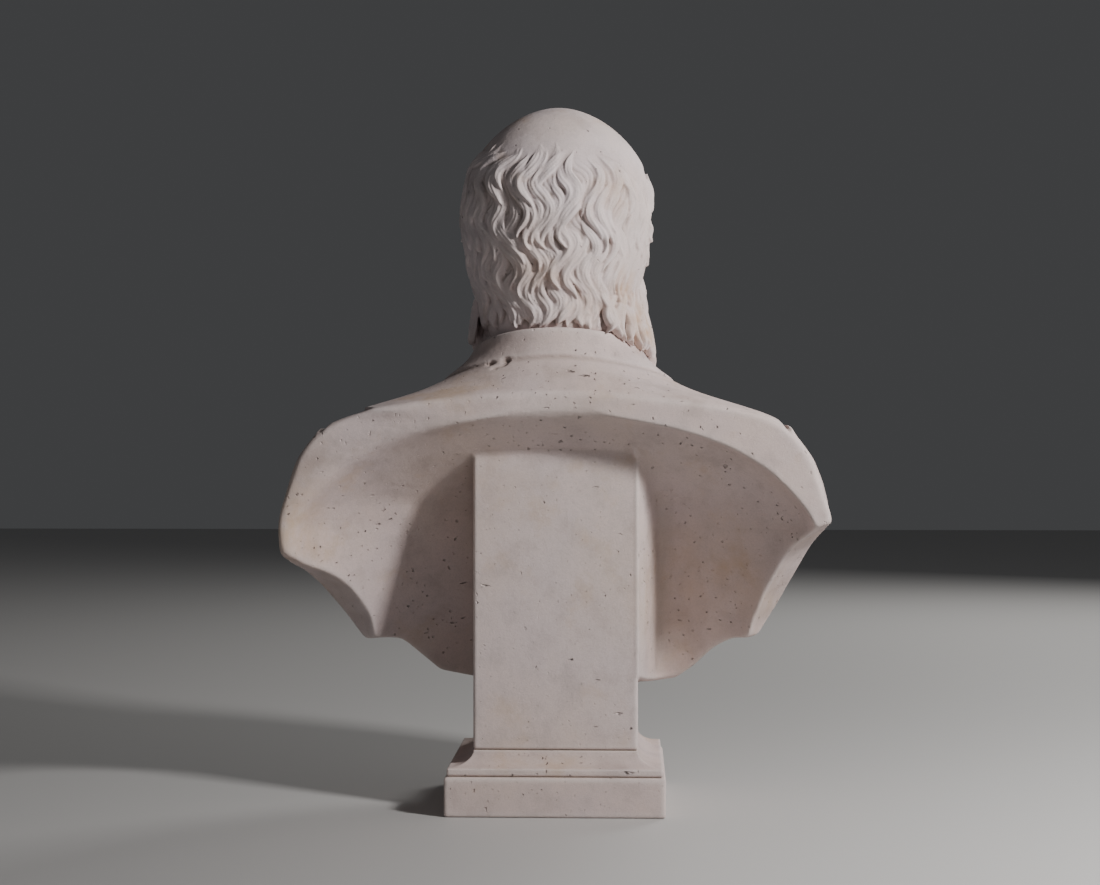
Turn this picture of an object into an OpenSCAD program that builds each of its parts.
/* [Plinth and socle] */
// Width and depth of the square plinth
plinth_w = 200; // [190:1:230]
// Height of the plinth
plinth_h = 36; // [32:1:44]
// Height of the flat band at the foot of the moulded socle block
band_h = 6.5; // [5:0.5:9]
// Height of the hollow curve above the band
cavetto_h = 14; // [12:0.5:18]
// How far the moulded block stands in from the plinth's edge
socle_inset = 2.5; // [2:0.5:6]
// Thickness of each mortar bed
bed_h = 1; // [0.6:0.1:2]

/* [Pier] */
// Width of the pier behind the bust
pier_w = 150; // [136:1:156]
// Depth of the pier from front to back
pier_d = 156; // [136:1:160]
// Height of the pier's arched top above the ground
pier_top = 334; // [325:1:338]

/* [Bust] */
// Width over the sleeves
shoulder_span = 492; // [470:1:510]
// Depth from the back rim to the chest
bust_depth = 240; // [230:1:250]
// Thickness of the stone shell at the sleeves
shell_t = 22; // [18:1:28]
// Height of the collar's top edge at the nape
collar_top = 444; // [440:1:446]
// Radius of the collar's inner wall
collar_r = 64; // [63:0.5:66]

/* [Head] */
// Height of the crown above the ground
crown_z = 655; // [645:1:665]
// Turn of the head about the neck, positive to its left
head_turn = -9; // [-12:1:12]
// Distance of the neck's axis in front of the plinth's centre
neck_fwd = 8; // [4:1:12]

/* [Fixings] */
// Radius of the threaded tie rod
rod_r = 6; // [5:0.5:8]
// Length of the tie rod
rod_len = 145; // [120:1:160]
// Radius of the two dowel pins in each masonry joint
pin_r = 5; // [4:0.5:6]
// Length of each dowel pin
pin_len = 17; // [12:1:18]
// Radius of the steel dowel between head and coat
dowel_r = 8; // [6:0.5:10]
// Length of the neck dowel
dowel_len = 120; // [90:1:130]

/* [Hidden] */

stone = [0.80, 0.76, 0.71];
mortar = [0.58, 0.53, 0.47];
steel = [0.70, 0.70, 0.72];
eps = 0.01;

// Heights of the masonry courses
socle_w = plinth_w - 2 * socle_inset;
socle_z = plinth_h + bed_h;
socle_h = band_h + cavetto_h;
pier_bed_z = socle_z + socle_h;
pier_z = pier_bed_z + bed_h;
mortar_setback = 1.5;

// Back rim, and the plane that the shell is measured from
rim_y = bust_depth / 2;
span_k = shoulder_span / 492;
depth_k = bust_depth / 240;

// Tie rod and its fittings
rod_z = 5;
rod_clear_r = rod_r + 1;
anchor_r = rod_r + 3;
nut_z = 8;
nut_h = 10;
nut_af = 3.17 * rod_r;
washer_t = 2.5;
washer_r = 3 * rod_r;
counterbore_r = washer_r + 4;
counterbore_h = nut_z + nut_h + washer_t;
cap_t = 3;
rod_top = rod_z + rod_len;

// Places of the dowel pins in plan
plinth_pin_x = 62;
pier_pin_x = 42;

// Neck joint
neck_y = -neck_fwd;
tenon_r = 45;
tenon_z = 374;
neck_z = 408;
bed_r = 1.5;
dowel_z = 330;

// Section tables of the outer coat: height, half-width, chest and back distance
// from the rim plane's middle, all at the design size
half_width = [[95, 246], [268, 247], [283, 245], [299, 241], [322, 231], [345, 216], [360, 201],
              [372, 168], [381, 139], [389, 119], [400, 100], [414, 86], [425, 79]];
chest_y = [[95, -104], [150, -114], [200, -119], [250, -120], [300, -116], [340, -107],
           [370, -96], [390, -88], [414, -80], [425, -77]];
back_y = [[95, 120], [374, 120], [382, 117], [390, 106], [400, 92], [414, 77], [425, 74]];
back_power = [[95, 9], [330, 8], [352, 5], [372, 3], [390, 2.4], [425, 2.1]];

// Section tables of the hollow behind: height, half-width at the rim, deepest point
hollow_width = [[80, 232], [262, 232], [277, 224], [295, 209], [313, 190], [332, 159], [346, 122],
                [355, 84], [362, 44]];
hollow_y = [[80, -60], [150, -36], [200, -12], [240, 5], [285, 26], [300, 42], [330, 78],
            [346, 96], [355, 107], [362, 116]];

// Lower outlines of the coat, from the middle to the tips of the right and left sleeves
hem_right = [[0, 100], [60, 101], [86, 102], [113, 106], [129, 117], [147, 134], [165, 148],
             [189, 157], [209, 188], [230, 229], [240, 251], [247, 266]];
hem_left = [[0, 103], [60, 104], [83, 106], [115, 112], [136, 130], [150, 142], [171, 149],
            [185, 151], [203, 166], [218, 192], [230, 215], [240, 237], [247, 248]];

// Section tables of the head about the neck's axis: height, then distance
side_hair = [[408, 57], [440, 60], [453, 70], [470, 78], [505, 85], [535, 92], [560, 93.5],
             [588, 93], [605, 88], [622, 77], [637, 62], [647, 43], [653, 22], [655, 4]];
side_face = [[408, 56], [420, 58], [428, 66], [438, 80], [450, 84], [480, 83], [505, 82],
             [530, 84], [560, 84], [588, 83], [605, 79], [622, 71], [637, 57], [647, 40],
             [653, 21], [655, 4]];
front = [[408, 54], [416, 60], [425, 76], [436, 93], [450, 98], [470, 95], [485, 92], [505, 90],
         [530, 88], [548, 87], [562, 91], [575, 91], [595, 88], [615, 79], [632, 64], [645, 45],
         [653, 22], [655, 4]];
back = [[408, 60], [444, 62], [453, 75], [470, 86], [500, 97], [535, 102], [565, 101],
        [590, 96], [612, 84], [630, 68], [645, 45], [653, 22], [655, 4]];

function mix(a, b, t) = a + (b - a) * t;
function step01(t) = let (c = max(0, min(1, t))) c * c * (3 - 2 * c);
function bump(d, w) = exp(-d * d / (2 * w * w));

// A table read with its corners rounded off over a short stretch
function soft(z, table, d = 5) =
    (lookup(z - d, table) + 2 * lookup(z, table) + lookup(z + d, table)) / 4;

// Distance from the middle to a superellipse with half-axes a and b
function oval(s, c, a, b, p) = 1 / pow(pow(abs(s) / a, p) + pow(abs(c) / b, p), 1 / p);

// Closed solid through rings of equal length, stacked upwards
module loft(rings) {
    n = len(rings[0]);
    m = len(rings);
    middle = function (ring) [for (k = [0:2]) [for (p = ring) p[k]] * [for (p = ring) 1] / n];
    points = concat([for (ring = rings) each ring], [middle(rings[0]), middle(rings[m - 1])]);
    sides = [for (i = [0:m - 2], j = [0:n - 1])
        let (a = i * n + j, b = i * n + (j + 1) % n)
        each [[a, b + n, b], [a, a + n, b + n]]];
    floor_fan = [for (j = [0:n - 1]) [n * m, j, (j + 1) % n]];
    roof_fan = [for (j = [0:n - 1]) [n * m + 1, n * (m - 1) + (j + 1) % n, n * (m - 1) + j]];
    polyhedron(points = points, faces = concat(sides, floor_fan, roof_fan));
}

// One level of the coat: a wide oval chest in front of a flatter back
function coat_ring(z, count = 72) =
    let (w = soft(z, half_width) * span_k,
         yf = soft(z, chest_y) * depth_k,
         yb = min(rim_y, soft(z, back_y, 3) * depth_k),
         ym = min(0.5 * rim_y, yb - 12),
         p = lookup(z, back_power))
    [for (i = [0:count - 1])
        let (t = 360 * i / count, s = sin(t), c = cos(t),
             r = c > 0 ? oval(s, c, w, ym - yf, 2.25) : oval(s, c, w, yb - ym, p))
        [r * s, ym - r * c, z]];

// One level of the hollow: an oval scoop that runs out through the rim
function hollow_ring(z, count = 56) =
    let (w = soft(z, hollow_width) * span_k + 22 - shell_t, yf = soft(z, hollow_y) * depth_k)
    [for (i = [0:count - 1])
        let (t = 360 * i / count, s = sin(t), c = cos(t),
             r = c > 0 ? oval(s, c, w, rim_y - yf, 2.2) : oval(s, c, w, 40, 8))
        [r * s, rim_y - r * c, z]];

// The lower outlines of both sides, closed above the shoulders
module coat_outline() {
    high = crown_z;
    right_side = [for (p = hem_right) [-p[0] * span_k, p[1]]];
    left_side = [for (i = [len(hem_left) - 1:-1:0]) [hem_left[i][0] * span_k, hem_left[i][1]]];
    wide = shoulder_span / 2 + 20;
    top = [[-wide, 290], [-wide, high], [wide, high], [wide, 290]];
    polygon(concat(right_side, top, left_side));
}

// The standing collar, before its top is sloped
module collar() {
    translate([0, neck_y + 2, neck_z - 24])
        cylinder(h = collar_top - neck_z + 24, r1 = collar_r + 27, r2 = collar_r + 9, $fn = 64);
}

// Everything above the collar's edge, which falls from the nape to the throat
module above_collar() {
    fall = 16;
    translate([0, neck_y + collar_r + 9, collar_top])
        rotate([fall, 0, 0])
        translate([-150, -300, 0])
        cube([300, 400, 120]);
}

module coat_levels() {
    levels = concat([for (z = [95:18:329]) z], [for (z = [338:6:422]) z]);
    loft([for (z = levels) coat_ring(z)]);
}

module hollow_levels() {
    levels = concat([for (z = [80:20:260]) z], [for (z = [270:8:362]) z]);
    loft([for (z = levels) hollow_ring(z)]);
}

// Stone left in the hollow beside the pier's right face: a steep slope, then a shallow one
module beside_stone() {
    inner_x = 1 - pier_w / 2;
    foot_x = -24 - pier_w / 2;
    outer_x = -shoulder_span / 2;
    translate([0, 0, 60])
        linear_extrude(pier_top - 66)
        polygon([[inner_x, -rim_y], [inner_x, pier_d / 2 - 2], [inner_x - 1, pier_d / 2 - 2],
                 [foot_x, 8], [outer_x, 16], [outer_x, -rim_y]]);
}

// The pier's plan is nearly square; its top is a low arch under the back rim
module pier_block() {
    arch = 8;
    arch_r = (pier_w * pier_w / 4 + arch * arch) / (2 * arch);
    intersection() {
        translate([-pier_w / 2, -pier_d / 2, pier_z])
            cube([pier_w, pier_d, pier_top - pier_z]);
        translate([0, pier_d / 2, pier_top - arch_r])
            rotate([90, 0, 0])
            cylinder(h = pier_d, r = arch_r, $fn = 160);
    }
}

// Vertical hole through everything between two heights
module bore(r, z0, z1, x = 0, y = 0) {
    translate([x, y, z0])
        cylinder(h = z1 - z0, r = r, $fn = 48);
}

module pin_pair(r, x, z0, z1) {
    for (side = [-1, 1])
        bore(r, z0, z1, side * x, 0);
}

module coat() {
    color(stone)
    difference() {
        resize([0, 0, 0])
        union() {
            difference() {
                intersection() {
                    union() {
                        coat_levels();
                        collar();
                    }
                    translate([0, 2 * rim_y, 0])
                        rotate([90, 0, 0])
                        linear_extrude(4 * rim_y)
                        coat_outline();
                }
                above_collar();
                difference() {
                    hollow_levels();
                    beside_stone();
                }
            }
            pier_block();
        }
        bore(collar_r, neck_z, crown_z, 0, neck_y);
        bore(tenon_r + bed_r, tenon_z - bed_r, neck_z + eps, 0, neck_y);
        bore(dowel_r, dowel_z, tenon_z, 0, neck_y);
        bore(anchor_r, pier_z - 1, rod_top + 5);
        pin_pair(pin_r, pier_pin_x, pier_z - 1, pier_z + pin_len / 2);
    }
}

// Relief of the face and hair over the plain oval head, in millimetres
function face_relief(t, z) =
    let (a = abs(t), ahead = step01((100 - a) / 30))
    ahead * (
        23 * bump(t, 5.5 - 0.02 * (z - 505)) * step01((z - 498) / 8) * step01((560 - z) / 48)
        + 8 * bump(a - 9, 4) * bump(z - 508, 6)
        + 5 * bump(a - 19, 12) * bump(z - 562, 6)
        - 10 * bump(a - 20, 9) * bump(z - 544, 9)
        + 6 * bump(a - 20, 6) * bump(z - 543, 6)
        + 4 * bump(a - 38, 12) * bump(z - 522, 12)
        + 5 * bump(a - 10, 9) * bump(z - 493, 5)
        - 4 * bump(t, 14) * bump(z - 480, 2.5)
        + 4 * bump(t, 9) * bump(z - 474, 4))
    + 9 * bump(a - 97, 6) * bump(z - 530, 18);

// Wavy locks behind the ears, and coarser ones in the beard
function lock_relief(t, z) =
    let (a = abs(t),
         scalp = step01((a - 84) / 14) * step01((602 - z) / 14) * step01((z - 440) / 8),
         beard = step01((500 - z) / 14) * step01((z - 412) / 10) * (1 - step01((a - 84) / 14)))
    2.4 * scalp * sin(26 * t + 50 * sin(7.5 * z)) + 2.6 * beard * sin(22 * t + 50 * sin(8 * z));

function head_ring(z, count = 84) =
    [for (i = [0:count - 1])
        let (t = 360 * i / count - 180, s = sin(t), c = cos(t),
             w = mix(soft(z, side_hair, 3), soft(z, side_face, 3), step01((c + 0.25) / 0.5)),
             f = soft(z, front, 3),
             b = soft(z, back, 3),
             r = oval(s, c, w, c > 0 ? f : b, 2.25) + face_relief(t, z) + lock_relief(t, z))
        [r * s, -r * c, z]];

module head() {
    stretch = crown_z - 655;
    levels = concat([neck_z], [for (z = [413:6:635]) z], [for (z = [640:3:655]) z]);
    color(stone)
    translate([0, neck_y, 0])
    rotate([0, 0, head_turn])
    difference() {
        union() {
            loft([for (z = levels)
                [for (p = head_ring(z)) [p[0], p[1], z + stretch * step01((z - 440) / 200)]]]);
            bore(tenon_r, tenon_z, neck_z + 5);
        }
        bore(dowel_r, tenon_z - 1, dowel_z + dowel_len);
    }
}

module neck_joint() {
    color(mortar)
    translate([0, neck_y, 0])
    difference() {
        bore(tenon_r + bed_r, tenon_z - bed_r, neck_z);
        bore(tenon_r, tenon_z, neck_z + 1);
        bore(dowel_r, tenon_z - 3, tenon_z + 1);
    }
}

module neck_dowel() {
    color(steel)
    bore(dowel_r, dowel_z, dowel_z + dowel_len, 0, neck_y);
}

// Half of the socle's outline, drawn out along one axis
module socle_profile(top_w) {
    wide = socle_w / 2;
    narrow = top_w / 2;
    reach = wide - narrow;
    curve = [for (i = [0:12]) let (t = 7.5 * i)
        [wide - reach * sin(t), band_h + cavetto_h * (1 - cos(t))]];
    translate([0, socle_z])
        polygon(concat([[-wide, 0], [wide, 0]], curve, [for (i = [12:-1:0]) [-curve[i][0], curve[i][1]]]));
}

module socle_moulding() {
    color(stone)
    difference() {
        intersection() {
            translate([0, socle_w / 2, 0])
                rotate([90, 0, 0])
                linear_extrude(socle_w)
                socle_profile(pier_w);
            translate([-socle_w / 2, 0, 0])
                rotate([90, 0, 90])
                linear_extrude(socle_w)
                socle_profile(pier_d);
        }
        bore(rod_clear_r, socle_z - 1, pier_bed_z + 1);
        pin_pair(pin_r, plinth_pin_x, socle_z - 1, socle_z + pin_len / 2);
        pin_pair(pin_r, pier_pin_x, pier_bed_z - pin_len / 2, pier_bed_z + 1);
    }
}

module plinth() {
    edge = 2;
    across = (plinth_w - edge) * sqrt(2);
    color(stone)
    difference() {
        intersection() {
            translate([-plinth_w / 2, -plinth_w / 2, 0])
                cube([plinth_w, plinth_w, plinth_h]);
            rotate([0, 0, 45])
                translate([-across / 2, -across / 2, 0])
                cube([across, across, plinth_h]);
        }
        bore(counterbore_r, -1, counterbore_h);
        bore(rod_clear_r, 0, plinth_h + 1);
        pin_pair(pin_r, plinth_pin_x, plinth_h - pin_len / 2, plinth_h + 1);
    }
}

// Mortar bed, set back from the faces above and below it
module bed(z, w, d, pin_x) {
    color(mortar)
    difference() {
        translate([-w / 2, -d / 2, z])
            cube([w, d, bed_h]);
        bore(rod_clear_r, z - 1, z + bed_h + 1);
        pin_pair(pin_r, pin_x, z - 1, z + bed_h + 1);
    }
}

module plinth_joint() {
    w = socle_w - 2 * mortar_setback;
    bed(plinth_h, w, w, plinth_pin_x);
}

module pier_joint() {
    w = pier_w - 2 * mortar_setback;
    d = pier_d - 2 * mortar_setback;
    bed(pier_bed_z, w, d, pier_pin_x);
}

module tie_rod() {
    color(steel)
    bore(rod_r, rod_z, rod_top);
}

// Resin sleeve that holds the rod's upper end in the pier
module rod_anchor() {
    color([0.75, 0.68, 0.50])
    difference() {
        bore(anchor_r, pier_z, rod_top + 5);
        bore(rod_r, pier_z - 1, rod_top);
    }
}

module tie_washer() {
    color(steel)
    difference() {
        bore(washer_r, nut_z + nut_h, counterbore_h);
        bore(rod_r + 0.4, nut_z, counterbore_h + 1);
    }
}

module tie_nut() {
    color(steel)
    difference() {
        translate([0, 0, nut_z])
            cylinder(h = nut_h, r = nut_af / sqrt(3), $fn = 6);
        bore(rod_r, nut_z - 1, nut_z + nut_h + 1);
    }
}

module base_cap() {
    color([0.62, 0.45, 0.28])
    bore(counterbore_r, 0, cap_t);
}

module plinth_pins() {
    color(steel)
    pin_pair(pin_r, plinth_pin_x, plinth_h - pin_len / 2, socle_z + pin_len / 2);
}

module pier_pins() {
    color(steel)
    pin_pair(pin_r, pier_pin_x, pier_bed_z - pin_len / 2, pier_z + pin_len / 2);
}

plinth();
plinth_joint();
socle_moulding();
pier_joint();
coat();
neck_joint();
head();
neck_dowel();
tie_rod();
rod_anchor();
tie_washer();
tie_nut();
base_cap();
plinth_pins();
pier_pins();
